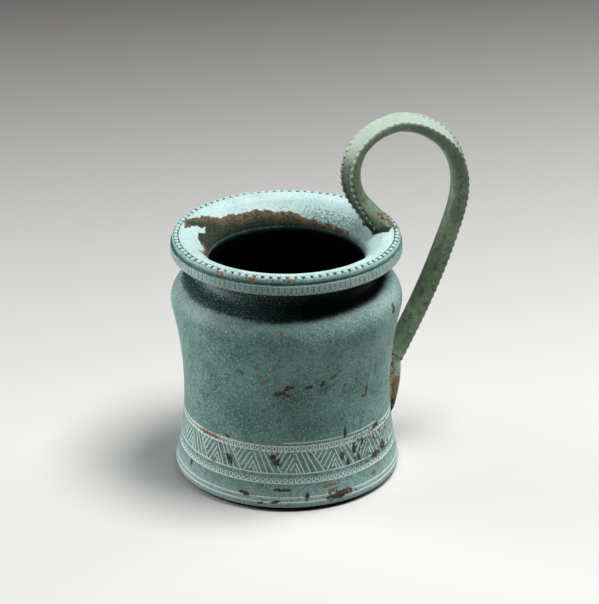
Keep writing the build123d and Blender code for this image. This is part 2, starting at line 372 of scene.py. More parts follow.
round_tree, given = group_with("set_round_the_cup", [
    ("Geometry", "NodeSocketGeometry"), ("Count", "NodeSocketInt"), ("Radius", "NodeSocketFloat"),
    ("Height", "NodeSocketFloat"), ("Wander", "NodeSocketFloat"), ("Uneven", "NodeSocketFloat"),
    ("Seed", "NodeSocketInt"), ("Material", "NodeSocketMaterial")])
index = add(round_tree, "GeometryNodeInputIndex")
step = add(round_tree, "ShaderNodeMath", {0: 2 * pi, 1: given["Count"]}, operation="DIVIDE")
even = add(round_tree, "ShaderNodeMath", {0: index, 1: step}, operation="MULTIPLY")
less = add(round_tree, "ShaderNodeMath", {0: given["Wander"], 1: -1.0}, operation="MULTIPLY")
stray = add(round_tree, "FunctionNodeRandomValue",
            {"Min": less, "Max": given["Wander"], "Seed": given["Seed"]}, data_type="FLOAT")
angle = add(round_tree, "ShaderNodeMath", {0: even, 1: stray}, operation="ADD")
turn_by = add(round_tree, "ShaderNodeCombineXYZ", {"Z": angle})
out = add(round_tree, "ShaderNodeCombineXYZ", {"X": given["Radius"], "Z": given["Height"]})
place = add(round_tree, "ShaderNodeVectorRotate", {"Vector": out, "Rotation": turn_by},
            rotation_type="EULER_XYZ")
dots = add(round_tree, "GeometryNodePoints", {"Count": given["Count"], "Position": place})
facing = add(round_tree, "FunctionNodeEulerToRotation", {"Euler": turn_by})
smallest = add(round_tree, "ShaderNodeMath", {0: 1.0, 1: given["Uneven"]}, operation="SUBTRACT")
size = add(round_tree, "FunctionNodeRandomValue",
           {"Min": smallest, "Max": 1.0, "Seed": given["Seed"]}, data_type="FLOAT")
set_out = add(round_tree, "GeometryNodeInstanceOnPoints",
              {"Points": dots, "Instance": given["Geometry"], "Rotation": facing, "Scale": size})
close_tree(round_tree, set_out, given["Material"])
print("tree", round_tree.name, len(round_tree.nodes), "nodes")

# %% Tree that cuts lines into a wall
cut_tree, given = group_with("cut_lines", [
    ("Geometry", "NodeSocketGeometry"), ("Lines", "NodeSocketObject"), ("Half width", "NodeSocketFloat"),
    ("Depth", "NodeSocketFloat"), ("Tint", "NodeSocketFloat"), ("Material", "NodeSocketMaterial")])
drawn = add(cut_tree, "GeometryNodeObjectInfo", {"Object": given["Lines"]}, give="Geometry")
away = add(cut_tree, "GeometryNodeProximity", {"Geometry": drawn}, give="Distance",
           target_element="EDGES")
near = add(cut_tree, "ShaderNodeMapRange",
           {"Value": away, "From Min": 0.0, "From Max": given["Half width"],
            "To Min": 1.0, "To Max": 0.0},
           interpolation_type="SMOOTHSTEP")
deep = add(cut_tree, "ShaderNodeMath", {0: near, 1: given["Depth"]}, operation="MULTIPLY")
inward = add(cut_tree, "ShaderNodeMath", {0: deep, 1: -1.0}, operation="MULTIPLY")
normal = add(cut_tree, "GeometryNodeInputNormal")
push = add(cut_tree, "ShaderNodeVectorMath", {0: normal, "Scale": inward}, operation="SCALE")
pale_share = add(cut_tree, "ShaderNodeMath", {0: near, 1: given["Tint"]}, operation="MULTIPLY")
kept = add(cut_tree, "GeometryNodeStoreNamedAttribute",
           {"Geometry": given["Geometry"], "Name": "line", "Value": pale_share},
           data_type="FLOAT", domain="POINT")
pressed = add(cut_tree, "GeometryNodeSetPosition", {"Geometry": kept, "Offset": push})
close_tree(cut_tree, pressed, given["Material"])


def run_tree(piece, tree, name, **inputs):
    """Lets a tree work on a piece and keeps the plain mesh that comes out, as a new piece."""
    modifier = piece.modifiers.new(tree.name, "NODES")
    modifier.node_group = tree
    sockets = {s.name: s.identifier for s in tree.interface.items_tree if s.in_out == "INPUT"}
    for label, value in inputs.items():
        modifier[sockets[label.replace("_", " ")]] = value
    mesh = finished_mesh(piece)
    mesh.name = name
    bpy.data.objects.remove(piece)
    print(name, len(mesh.polygons), "faces")
    return put_in_scene(name, mesh)


# %% [markdown]
# ## Finishes
# Buried bronze turns into minerals from the outside in. The cup has a smooth blue-green patina
# of copper carbonate, dense enough to take a dull shine, speckled by deeper green where the
# crystals are coarse. The handle's patina is a drier olive green. Brown earth and iron crust sit
# on top. No bare metal shows, so nothing here is metallic: the shine comes from a mineral skin.

# %% Noise, layers and torn edges
DEFAULT_IOR = 1.5
# How far noise tears the edge of a stain
TEAR = 1.9


def mineral(name):
    """Empty material with its shader tree and its object coordinates ready."""
    material = bpy.data.materials.new(name)
    material.use_nodes = True
    tree = material.node_tree
    tree.nodes.clear()
    return material, tree, add(tree, "ShaderNodeTexCoord", give="Object")


def grains(tree, place, sizes):
    """Cloudy noises by name, from the size of their features in mm, their detail and roughness."""
    return {label: add(tree, "ShaderNodeTexNoise",
                       {"Vector": place, "Scale": 1 / (size * MM), "Detail": detail, "Roughness": rough},
                       give="Fac")
            for label, (size, detail, rough) in sizes.items()}


def shares(tree, cuts):
    """Shares by name, from a value and the two levels at which the share is 0 and 1."""
    return {label: add(tree, "ShaderNodeMapRange", {"Value": value, "From Min": none, "From Max": full})
            for label, (value, none, full) in cuts.items()}


def painted(tree, base, layers):
    """Lays colours over a base one after another, each by its share."""
    for share, colour in layers:
        under, over = (linear(c) if isinstance(c, str) else c for c in (base, colour))
        base = add(tree, "ShaderNodeMix", {"Factor": share, "A": under, "B": over}, data_type="RGBA")
    return base


def ragged(tree, patches):
    """Turns soft spots into patches with a torn edge, by adding noise before they are cut."""
    torn = {}
    for label, (soft_spot, breaker, none, full) in patches.items():
        centred = add(tree, "ShaderNodeMath", {0: breaker, 1: 0.5}, operation="SUBTRACT")
        mixed = add(tree, "ShaderNodeMath", {0: centred, 1: TEAR, 2: soft_spot},
                    operation="MULTIPLY_ADD")
        torn[label] = (mixed, none, full)
    return shares(tree, torn)


# %% Patina
# Size in mm, detail and roughness of the mineral's clouds and grain and of what tears its stains
PATINA_GRAINS = {
    "clouds": (14.0, 5.0, 0.6), "mottle": (2.2, 4.0, 0.7), "specks": (0.55, 2.0, 0.7),
    "deep_edge": (1.0, 4.0, 0.7), "earth_edge": (1.3, 5.0, 0.7), "rust_edge": (0.9, 4.0, 0.7),
    "brown": (1.1, 4.0, 0.6), "olive": (0.8, 4.0, 0.6)}
# Numbers the mesh carries: real stains, the painted light in the pale bloom, and the painted shade in
# the deep and inside shares
STAINS_AND_PAINTED_LIGHT = ("bloom", "deep", "line", "earth", "low_in_patch", "rust", "inside")
# Near black for painted shade, on the cup's inside and under the rim
PAINTED_SHADE_COLOUR = "#030504"
# Colours of the crusts, each from dark to light: brown earth, olive earth low in a patch, rust
BROWN_EARTH, OLIVE_EARTH, RUST = ("#4c4130", "#84705a"), ("#182010", "#37462c"), ("#6a4a2a", "#b48a58")


def patina(name, deep, middle, pale, bloom, groove, roughness, speckle):
    """Patina on cast bronze: clouds of greens, fine specks, pale grooves, placed stains, and painted
    light and shade.
    """
    material, tree, place = mineral(name)
    grain = grains(tree, place, PATINA_GRAINS)
    stain = {label: add(tree, "ShaderNodeAttribute", give="Fac", attribute_name=label)
             for label in STAINS_AND_PAINTED_LIGHT}
    share = shares(tree, {
        "pale": (grain["clouds"], 0.36, 0.64), "mottled": (grain["mottle"], 0.5, 0.72),
        "light": (grain["specks"], 0.54, 0.68), "dark": (grain["specks"], 0.45, 0.35),
        "cut": (stain["line"], 0.0, 0.6), "worn": (grain["mottle"], 0.0, 0.35),
        "brown": (grain["brown"], 0.42, 0.6), "olive": (grain["olive"], 0.45, 0.65)})
    patch = ragged(tree, {
        "deep": (stain["deep"], grain["deep_edge"], 0.3, 0.8),
        "earth": (stain["earth"], grain["earth_edge"], 0.44, 0.64),
        "rust": (stain["rust"], grain["rust_edge"], 0.42, 0.75)})
    # The dark specks are fewer where the pale bloom and painted light lie
    dark_limit = add(tree, "ShaderNodeMapRange",
                     {"Value": stain["bloom"], "To Min": speckle, "To Max": 0.55 * speckle})
    light_specks, dark_specks, pale_cuts = (
        add(tree, "ShaderNodeMath", {0: first, 1: second}, operation="MULTIPLY")
        for first, second in ((share["light"], speckle), (share["dark"], dark_limit),
                              (share["cut"], share["worn"])))

    brown, olive = (painted(tree, dark, [(share[label], light)])
                    for label, (dark, light) in (("brown", BROWN_EARTH), ("olive", OLIVE_EARTH)))
    ground = painted(tree, brown, [(stain["low_in_patch"], olive)])
    rusty = painted(tree, RUST[0], [(grain["mottle"], RUST[1])])
    # Besides real stains, the layers lay painted light with the bloom colour and painted shade with the
    # deep green and the near black inside
    tone = painted(tree, middle, [
        (share["pale"], pale), (share["mottled"], deep), (stain["bloom"], bloom), (patch["deep"], deep),
        (light_specks, bloom), (dark_specks, deep), (pale_cuts, groove),
        (stain["inside"], PAINTED_SHADE_COLOUR), (patch["rust"], rusty), (patch["earth"], ground)])

    height = add(tree, "ShaderNodeMath", {0: grain["specks"], 1: 0.35, 2: grain["mottle"]},
                 operation="MULTIPLY_ADD")
    height = add(tree, "ShaderNodeMath", {0: patch["earth"], 1: 0.8, 2: height},
                 operation="MULTIPLY_ADD")
    relief = add(tree, "ShaderNodeBump", {"Height": height, "Strength": 0.35, "Distance": 0.12 * MM})
    dull = add(tree, "ShaderNodeMapRange", {"Value": grain["specks"], "From Min": 0.3, "From Max": 0.7,
                                            "To Min": roughness - 0.1, "To Max": roughness + 0.12})
    dull = add(tree, "ShaderNodeMix", {"Factor": patch["earth"], "A": dull, "B": 0.9}, data_type="FLOAT")
    # Where shade is painted near black, the shine is taken away as well
    sheen = add(tree, "ShaderNodeMapRange", {"Value": stain["inside"], "To Min": 0.5, "To Max": 0.03})
    skin = add(tree, "ShaderNodeBsdfPrincipled",
               {"Base Color": tone, "Roughness": dull, "Normal": relief, "IOR": DEFAULT_IOR,
                "Specular IOR Level": sheen})
    add(tree, "ShaderNodeOutputMaterial", {"Surface": skin})
    return material


# Copper carbonate patina over cast bronze: smooth, blue-green, with a low satin shine
cup_patina = patina("smooth_carbonate_patina", deep="#1f4a47", middle="#4b7d72", pale="#77a8a0",
                    bloom="#cbe8e5", groove="#f2fffa", roughness=0.5, speckle=0.7)
# Drier olive patina on the handle, greener and less blue
handle_patina = patina("olive_handle_patina", deep="#2f3d29", middle="#5c7152", pale="#88a183",
                       bloom="#d8e8dc", groove="#a9c3a0", roughness=0.42, speckle=0.3)
print("patinas", len(cup_patina.node_tree.nodes), "nodes each")

# %% [markdown]
# ## The engraved band
# Above the foot runs a band: a row of small rings between lines, then a zigzag filled with
# slanting hatches, then rings again. The zigzag repeats sixteen times and its hatches were cut
# by eye, so no two are quite even. One zigzag is drawn as bare edges, in degrees and heights,
# and set round the cup; the rings are one circle set round a hundred times and more.

# %% Lines of the band
FRIEZE_LOW, FRIEZE_TOP = 9.9, 26.5
BAND_JOINTS = (14.5, 21.9)
LOWER_RINGS, UPPER_RINGS = 11.75, 23.35
LOWER_COUNT, UPPER_COUNT = 120, 114
RING_RADIUS = 0.72
BAND_LOW, BAND_TOP = 14.15, 22.3
ZIGZAGS = 16
FIRST_AXIS = radians(4.2)
CUT_HALF_WIDTH = 0.3
CUT_DEPTH = 0.16
FRAME_HEIGHTS = (10.6, 14.1, BAND_TOP, 24.3)
# One scribed line above the band that stops part of the way round: height, and angles on the cup
SCRIBE_HEIGHT, SCRIBE_FROM, SCRIBE_TO = 25.65, -112, -52


def bare_edges(name, strokes):
    """Object of bare edges from lists of points in millimetres."""
    points = [p for stroke in strokes for p in stroke]
    edges, first = [], 0
    for stroke in strokes:
        edges += [(first + k, first + k + 1) for k in range(len(stroke) - 1)]
        first += len(stroke)
    mesh = bpy.data.meshes.new(name)
    mesh.from_pydata((np.array(points) * MM).tolist(), edges, [])
    return put_in_scene(name, mesh)


def on_wall(degrees, z):
    """Point on the hollow side."""
    a = radians(degrees)
    return wall_at(z) * cos(a), wall_at(z) * sin(a), z


def stroke_on_wall(start, end, pieces=6):
    """Straight cut on the wall between two places in degrees and height."""
    turn, rise = end[0] - start[0], end[1] - start[1]
    return [on_wall(start[0] + turn * share, start[1] + rise * share)
            for share in np.linspace(0, 1, pieces)]


def circle_on_wall(z, count=720):
    """Turned line round the wall."""
    return [on_wall(360 * k / count, z) for k in range(count + 1)]


# One zigzag, from one peak to the next: falling strokes left of the long one, rising ones right
falling = [((8.25, BAND_TOP), (15.75, BAND_LOW)), ((5.5, BAND_TOP), (11.75, BAND_LOW)),
           ((3.25, BAND_TOP), (8.0, BAND_LOW)), ((0.3, 21.4), (4.75, BAND_LOW)),
           ((0.2, 18.0), (2.75, BAND_LOW)), ((0.1, 15.9), (0.9, BAND_LOW))]
rising = [((10.5, 20.5), (12.1, BAND_TOP)), ((12.2, 18.9), (15.6, BAND_TOP)),
          ((13.7, 17.4), (18.1, BAND_TOP)), ((15.5, 16.0), (20.4, 21.1)),
          ((17.5, 14.7), (22.0, 19.9)), ((20.4, 15.3), (22.4, 17.9))]
zigzag = bare_edges("zigzag_unit", [stroke_on_wall(a, b) for a, b in falling + rising])
zigzag_lines = run_tree(zigzag, round_tree, "zigzag_lines", Count=ZIGZAGS, Wander=radians(0.35), Seed=4)
zigzag_lines.data.transform(Matrix.Rotation(FRONT + FIRST_AXIS, 4, "Z"))


def ring_row(name, z, count, seed):
    """A row of small punched rings that touch like a chain."""
    turns = np.linspace(0, 2 * pi, 15)
    loop = [(0, RING_RADIUS * cos(t), RING_RADIUS * 1.08 * sin(t)) for t in turns]
    return run_tree(bare_edges(name, [loop]), round_tree, name, Count=count, Radius=wall_at(z) * MM,
                    Height=z * MM, Wander=radians(0.12), Uneven=0.12, Seed=seed)


lower_chain = ring_row("lower_chain", LOWER_RINGS, LOWER_COUNT, 5)
upper_chain = ring_row("upper_chain", UPPER_RINGS, UPPER_COUNT, 6)
scribe = [on_wall(d, SCRIBE_HEIGHT) for d in np.arange(SCRIBE_FROM, SCRIBE_TO, 0.5)]
frame_lines = bare_edges("frame_lines", [circle_on_wall(z) for z in FRAME_HEIGHTS] + [scribe])


def join(name, pieces):
    """One object from several."""
    with bpy.context.temp_override(active_object=pieces[0], selected_editable_objects=pieces):
        bpy.ops.object.join()
    pieces[0].name = name
    return pieces[0]


frieze_lines = join("frieze_lines", [zigzag_lines, lower_chain, upper_chain, frame_lines])
print("frieze has", len(frieze_lines.data.edges), "edges to cut along")

# %% [markdown]
# ## The rings of the cup
# The engraved band needs a fine mesh and the plain wall doesn't, so the one casting is laid out
# as turned rings that meet edge to edge: foot, three rings of engraving, wall and rim. Each is
# closed by itself, with its own stretch of the inner wall. A bowl modelled as one mesh would
# either lose the engraving or spend its faces where nothing happens.

# %% Foot and engraved bands
PLAIN_COLUMNS = 400
FINE_COLUMNS = 1600
FINE_STEP = 0.17
INNER_STEP = 2.0

rest, heel = (rest_r, 0), heel_point
inner_low = (wall_at(haunch_top, wall), haunch_top)
foot_outline = (
    arc_points(foot_c, rest, heel, 0.25) + wall_points(heel[1], FRIEZE_LOW, 0.25)
    + [(wall_at(FRIEZE_LOW), FRIEZE_LOW)] + wall_points(FRIEZE_LOW, haunch_top, INNER_STEP, wall)
    + [inner_low, (ledge_r, ledge_top), (ledge_r, floor_top), (seat_r, floor_top), (seat_r, 0)])


def band_outline(z0, z1):
    """Outline of one fine ring of the wall between two heights."""
    return (wall_points(z0, z1, FINE_STEP) + [(wall_at(z1), z1), (wall_at(z1, wall), z1)]
            + [(wall_at(z0, wall), z0)])


foot = turned_ring("cup_foot", foot_outline, PLAIN_COLUMNS)
band_edges = (FRIEZE_LOW, *BAND_JOINTS, FRIEZE_TOP)
band_names = ("cup_lower_rings", "cup_zigzag", "cup_upper_rings")
bands = [turned_ring(name, band_outline(z0, z1), FINE_COLUMNS)
         for name, z0, z1 in zip(band_names, band_edges, band_edges[1:])]

# %% [markdown]
# ## Wall and rim
# The wall ring carries the shoulder, the neck and the inside. The rim has a plain band marked
# with worn tongues, a groove, and a row of beads on its edge; inside it falls away as a bell.

# %% Wall
turn_under = atan2(band_low - neck_c[1], rim_r - neck_c[0])
turn_under += acos(neck_round / hypot(rim_r - neck_c[0], band_low - neck_c[1]))
under = (neck_c[0] + neck_round * cos(turn_under), neck_c[1] + neck_round * sin(turn_under))
neck_side = (neck_r, neck_c[1])
lip_c_z = rim_top - lip_round
lip_out = lip_round * sin(pi / 4)
lip_x = 37.1
upper = (lip_x - lip_out, lip_c_z + lip_out)
bell_run = lip_x - throat_r - lip_round
lower = (upper[0] - bell_run, upper[1] - bell_run)
bell_low = (throat_r, lower[1] - lip_out)
bell_c = (throat_r + lip_round, bell_low[1])
ceiling = shoulder_z + shoulder_round - wall
throat_low = (throat_r, ceiling + throat_round)
throat_end = (throat_r + throat_round, ceiling)
vault = (shoulder_c[0], ceiling)
inner_chest = touch(shoulder_c, shoulder_round - wall, high_c, high_r + wall)
wall_outline = (
    wall_points(FRIEZE_TOP, chest_point[1], 0.62)
    + arc_points(shoulder_c, chest_point, crown_point, 0.62)
    + arc_points(neck_c, crown_point, neck_side, 0.6) + arc_points(neck_c, neck_side, under, 0.6)
    + [under] + line_points(bell_low, throat_low, 1.0)
    + arc_points((throat_end[0], throat_low[1]), throat_low, throat_end, 0.5)
    + line_points(throat_end, vault, 1.0) + arc_points(shoulder_c, vault, inner_chest, 0.8)
    + wall_points(inner_chest[1], FRIEZE_TOP, INNER_STEP, wall)
    + [(wall_at(FRIEZE_TOP, wall), FRIEZE_TOP)])
body = turned_ring("cup_wall", wall_outline, PLAIN_COLUMNS)

# %% Rim
TONGUES = 130
RIM_COLUMNS = TONGUES * 7
edge_low, edge_round, band_round = band_low - 0.1, 0.45, 0.3
edge_c = (rim_r - edge_round, edge_low + edge_round)
band_c = (rim_r - band_round, band_top - band_round)
# Corners from the band's top over groove, shelf, ridge and bead seat to the lip, each with the
# spacing of the points that follow it
RIM_CORNERS = [((band_c[0], band_top), 0.2), ((40.15, 87.5), 0.2), ((40.4, 88.25), 0.3),
               ((40.3, 89.3), 0.25), ((40.0, 89.7), 0.25), ((39.6, 89.35), 0.3), ((38.4, 89.2), 0.25),
               ((37.9, rim_top), 0.4), ((lip_x, rim_top), None)]
rim_outline = (
    line_points(under, (edge_c[0], edge_low), 0.6)
    + arc_points(edge_c, (edge_c[0], edge_low), (rim_r, edge_c[1]), 0.15)
    + line_points((rim_r, edge_c[1]), (rim_r, band_c[1]), 0.22)
    + arc_points(band_c, (rim_r, band_c[1]), (band_c[0], band_top), 0.12)
    + [p for (start, spacing), (end, _) in zip(RIM_CORNERS, RIM_CORNERS[1:])
       for p in line_points(start, end, spacing)]
    + arc_points((lip_x, lip_c_z), (lip_x, rim_top), upper, 0.4) + line_points(upper, lower, 0.4)
    + arc_points(bell_c, lower, bell_low, 0.4) + [bell_low])
rim = turned_ring("cup_rim", rim_outline, RIM_COLUMNS)

# %% [markdown]
# ## Ages of the surface
# Before the lines are cut, each ring gets its stains, its painted light and shade, and its slight
# unevenness. Lumps are only pressed inwards, so that the cup never grows past its real size; the
# crust inside the mouth is the one thing that stands proud. Its edge is drawn as a few points round
# the mouth: how far up the bell the earth reaches at each angle, measured from the far side.

# %% Places of bloom, painted light and shade, and crust
UNEVEN = 0.09
CRUST_RISE = 0.28
# Pale bloom and painted top light on the wall where it faces up, and towards the foot
BLOOM_AND_TOP_LIGHT_ON_WALL, FOOT_BLOOM_AND_LIGHT = 0.5, 0.4
WALL_MIDDLE = (throat_r + neck_r) / 2
# Painted shade under the rim: angles from the camera's side, its blackness and how far over
# the shoulder it reaches, in degrees
PAINTED_SHADE_TURN = (-110, -60, -20, 15, 60, 95, 130)
PAINTED_SHADE_BLACK = (0.1, 0.2, 0.4, 0.88, 1.0, 0.95, 0.2)
PAINTED_SHADE_REACH = (34, 44, 48, 44, 32, 22, 12)
# Zones of the neck and the rim: inner and outer radius, low and top height
OUTSIDE = rim_r + 1
NECK_ZONE = (WALL_MIDDLE, rim_r - 2, 67, band_low)
# Painted shade in the groove above the band
PAINTED_GROOVE_SHADE_ZONE = (40, OUTSIDE, band_top - 0.15, 88.5)
BAND_ZONE = (40.5, OUTSIDE, band_low, band_top)
# Painted shade round the feet of the rim beads
PAINTED_BEAD_SHADE_ZONE = (38.1, 39.9, 89, 89.66)
# Rust crumbs lie among the beads and outside them, not over the lip
RUST_FROM_R = 38.2
# Run of the bell mouth from the throat outwards, up which the earth climbs
BELL_RUN = 10.6
# Painted shadow of the handle's root, low on the right of the bell mouth: angle from the far side and
# strength
ROOT_SHADOW_TURN, ROOT_SHADOW_DARK = (-40, 5, 20, 55, 75), (0.12, 0.3, 0.5, 0.45, 0)
# Angle from the far side (plus is right in the picture), and how far up the bell the earth goes
CRUST_TOP = [(-106, 0), (-103.5, 0.4), (-100, 0.2), (-91.5, 0.1), (-87, 0.24), (-84, 0.36),
             (-83.6, 0.8), (-77.5, 0.9), (-71.5, 0.96), (-66.5, 0.71), (-56, 0.55), (-53, 0.47),
             (-48.5, 0.38), (-38.5, 0.37), (-35.5, 0.29), (-26, 0.35), (-18, 0.33), (-12.5, 0.29),
             (-5, 0.22), (2, 0.26), (7, 0.18), (12, 0.12), (20.5, 0.09), (30.5, 0.05), (45, 0.03),
             (56, 0)]
# The bare island inside the patch: angle, and its lower and its upper edge
ISLAND = [(-84, 0.37, 0.76), (-79.5, 0.39, 0.64), (-77.5, 0.39, 0.6), (-72, 0.28, 0.47),
          (-68, 0.33, 0.39), (-66, 0.36, 0.37)]
ISLAND_END = -64


# %% Earth, painted shadow and painted shade at each point
def lumps(points, size_mm, seed):
    """Smooth noise between -1 and 1 at each point."""
    shift = Vector((seed, 2 * seed, 3 * seed))
    return np.array([noise.noise(Vector(p) / size_mm + shift) for p in points])


def up_the_bell(points):
    """Radius, angle from the far side in degrees, and climb from 0 to 1 up the bell mouth."""
    r, turn, _ = around(points)
    return r, 180 - turn % 360, (r - throat_r) / BELL_RUN


def crust_in_bell(points):
    """Earth on the bell mouth, 1 inside the patch and 0 outside, and how low in it each point is."""
    _, from_back, climb = up_the_bell(points)
    climb = climb + 0.05 * lumps(points, 1.6, 14)
    from_back = from_back + 1.6 * lumps(points, 2.4, 15)
    angles, reach = np.array(CRUST_TOP, float).T
    limit = np.interp(from_back, angles, reach, left=0, right=0)
    inside_top = np.clip(0.5 + (limit - climb) / 0.12, 0, 1)
    angles, low, high = np.array(ISLAND, float).T
    above = climb - np.interp(from_back, angles, low, left=9, right=9)
    below = np.interp(from_back, angles, high, left=-9, right=-9) - climb
    bare = np.clip(0.5 + np.minimum(above, below) / 0.1, 0, 1) * (from_back < ISLAND_END)
    value = inside_top * (1 - bare) * (limit > 0.01) * (points[:, 2] > throat_low[1])
    return value, np.clip((limit - climb) / 0.3, 0, 1)


def painted_root_shadow_at(points):
    """Strength of the painted shadow of the handle's root, low on the far right of the bell mouth."""
    r, from_back, climb = up_the_bell(points)
    along = np.interp(from_back, ROOT_SHADOW_TURN, ROOT_SHADOW_DARK)
    return along * np.clip((0.62 - climb) / 0.35, 0, 1) * (r < lip_x)


def within(r, z, inner, outer, low, top):
    """1 where a point lies between two radii and two heights, 0 elsewhere."""
    return ((r > inner) & (r < outer) & (z > low) & (z < top)).astype(float)


def inside_at(r, z):
    """1 on the inside of the cup, where shade is painted near black, and 0 outside, with a soft change
    at the throat.
    """
    side = np.array([wall_at(h, wall / 2) for h in np.clip(z, 0, chest_point[1])])
    low = (z < chest_point[1]) & (r < side)
    vault = (z >= chest_point[1]) & (z < ceiling) & (np.hypot(r - shoulder_c[0], z - shoulder_z)
                                                     < shoulder_round - wall / 2)
    throat = (r < WALL_MIDDLE) * np.clip((bell_low[1] + 0.3 - z) / 1.5, 0, 1)
    return np.maximum((low | vault).astype(float), throat)


def facing_up(z):
    """Upward lean of the outer wall at each height: 1 where it is level, 0 where it is upright."""
    slope = np.array([wall_at(h + 0.1) - wall_at(h - 0.1) for h in np.clip(z, 3, chest_point[1])]) / 0.2
    side = -slope / np.hypot(1, slope)
    side = np.where(z > chest_point[1], (z - shoulder_z) / shoulder_round, side)
    return np.where(z > crown_point[1], (neck_c[1] - z) / neck_round, side)


def painted_shade_under_rim(points):
    """Painted shade on the neck and shoulder under the rim: how black it is, and how far it only darkens
    the green.
    """
    r, turn, z = around(points)
    lean = np.degrees(np.arctan2(r - shoulder_c[0], np.maximum(z - shoulder_z, 0.01)))
    edge = np.interp(turn, PAINTED_SHADE_TURN, PAINTED_SHADE_REACH) + 3 * lumps(points, 4.0, 12)
    on_shoulder = np.clip((edge - lean) / 12, 0, 1) ** 0.7
    band = np.where(z < crown_point[1] + 0.3, on_shoulder, 1.0) * within(r, z, *NECK_ZONE)
    return band * np.interp(turn, PAINTED_SHADE_TURN, PAINTED_SHADE_BLACK), band


# %% Stains, painted light and shade, and lumps on the rings
def settle(piece, rim_part=False):
    """Writes the stains, the painted light and the painted shade on a ring's points and presses its
    slight unevenness in.
    """
    points = points_of(piece)
    r, _, z = around(points)
    earth = np.maximum(spots_at(points, EARTH_SPOTS), haze_at(points, EARTH_HAZE))
    # Pale bloom and painted top light: paler where the wall faces up, and towards the foot
    bloom = np.maximum(np.clip(facing_up(z), 0, 1) * BLOOM_AND_TOP_LIGHT_ON_WALL,
                       FOOT_BLOOM_AND_LIGHT * np.clip((11 - z) / 5, 0, 1))
    inside = inside_at(r, z)
    # Painted shade under the rim: near black on the neck, a darker green where it reaches over the
    # shoulder
    painted_black, shade = painted_shade_under_rim(points)
    low_in_patch = np.full(len(points), 0.6)
    # What darkens to the deep green: painted shade under the rim here, on the rim also painted shadow
    # and shade at the beads, and real deep spots
    darker = [0.95 * shade]
    if rim_part:
        crust, low_in_patch = crust_in_bell(points)
        earth = np.maximum(earth, crust)
        # Pale bloom and painted top light on the bell mouth and the rim's top, which face up; a little
        # on the band
        bloom = np.clip((39.4 - r) / 1.2, 0, 1) * np.clip((z - 81) / 5, 0, 1)
        bloom = np.maximum(bloom, 0.5 * (z > 88.6)) * (0.85 + 0.15 * lumps(points, 6.0, 3))
        bloom = np.maximum(bloom, 0.12 * within(r, z, *BAND_ZONE))
        # Painted shade in the groove above the band
        painted_black = np.maximum(painted_black, 0.3 * within(r, z, *PAINTED_GROOVE_SHADE_ZONE))
        # Painted shadow of the handle's root on the bell, and painted shade round the beads' feet
        darker += [painted_root_shadow_at(points), within(r, z, *PAINTED_BEAD_SHADE_ZONE)]
        rough = 0.6 + 0.4 * lumps(points, 1.3, 8)
        points[:, 2] += CRUST_RISE * np.clip(crust * 2 - 0.8, 0, 1) * rough
    rust = spots_at(points, RUST_SPOTS)
    if rim_part:
        rust *= r > RUST_FROM_R
    darker.append(0.7 * spots_at(points, DEEP_SPOTS))
    # The inside share is painted shade: the cup's inside and the shade under the rim go near black
    write_on_points(piece, {
        "earth": earth, "rust": rust, "deep": np.max(darker, axis=0), "bloom": bloom,
        "line": np.zeros(len(points)), "inside": np.maximum(inside, painted_black),
        "low_in_patch": low_in_patch})
    push = UNEVEN * (lumps(points, 9.0, 1) * 0.7 + lumps(points, 3.0, 2) * 0.3 - 0.6)
    points[:, :2] *= (1 + push / r)[:, None]
    move_points(piece, points)
    print(piece.name, "has its stains on", len(points), "points")


for ring in (foot, *bands, body):
    settle(ring)
settle(rim, rim_part=True)

# %% Cutting the lines
FOOT_HEIGHTS = (3.85, 5.5)
foot_lines = bare_edges("foot_lines", [circle_on_wall(z) for z in FOOT_HEIGHTS])
tongue_top, tongue_low, tongue_half = 86.95, 84.3, 0.68
bend = [(rim_r, tongue_half * cos(t), tongue_low + tongue_half + tongue_half * sin(t))
        for t in np.linspace(pi, 2 * pi, 7)]
tongue = bare_edges("tongue", [[(rim_r, -tongue_half, tongue_top), *bend,
                                (rim_r, tongue_half, tongue_top)]])
tongue_lines = run_tree(tongue, round_tree, "tongue_lines", Count=TONGUES, Wander=radians(0.1), Seed=9)

cut = {"Half_width": CUT_HALF_WIDTH * MM, "Depth": CUT_DEPTH * MM, "Tint": 1.0, "Material": cup_patina}
bands = [run_tree(band, cut_tree, band.name, Lines=frieze_lines, **cut) for band in bands]
foot = run_tree(foot, cut_tree, "cup_foot", Lines=foot_lines, **cut)
rim = run_tree(rim, cut_tree, "cup_rim", Lines=tongue_lines, Half_width=0.3 * MM, Depth=0.12 * MM,
               Tint=0.4, Material=cup_patina)
body.data.materials.append(cup_patina)
for drawing in (frieze_lines, foot_lines, tongue_lines):
    bpy.data.objects.remove(drawing)

# %% [markdown]
# ## Beads on the rim
# Eighty-seven low beads stand on the rim's edge, struck one after another, so their sizes and
# gaps vary a little. A bead is one flattened ball of a few faces, set round the cup by the tree
# that set the rings. Modelling them apart keeps a crisp dark line where each bead meets the rim.

# %% Rim beads
BEADS = 87
BEAD_LENGTH, BEAD_WIDTH, BEAD_HEIGHT = 2.15, 1.7, 1.6
bead_centre = (39.05, 89.45)


def ball(name, across, along, high, rings=8, segments=14):
    """Closed ball with its poles up and down, out of quads and two fans."""
    tilt = np.linspace(-pi / 2, pi / 2, rings + 1)[1:-1]
    turn = np.arange(segments) * 2 * pi / segments
    points = [(across / 2 * cos(t) * cos(a), along / 2 * cos(t) * sin(a), high / 2 * sin(t))
              for t in tilt for a in turn]
    faces = grid_faces(len(tilt), segments, close_rows=False)
    low, top = len(points), len(points) + 1
    last = len(points) - segments
    for k in range(segments):
        after = (k + 1) % segments
        faces.append((low, after, k))
        faces.append((top, last + k, last + after))
    return new_piece(name, points + [(0, 0, -high / 2), (0, 0, high / 2)], faces)


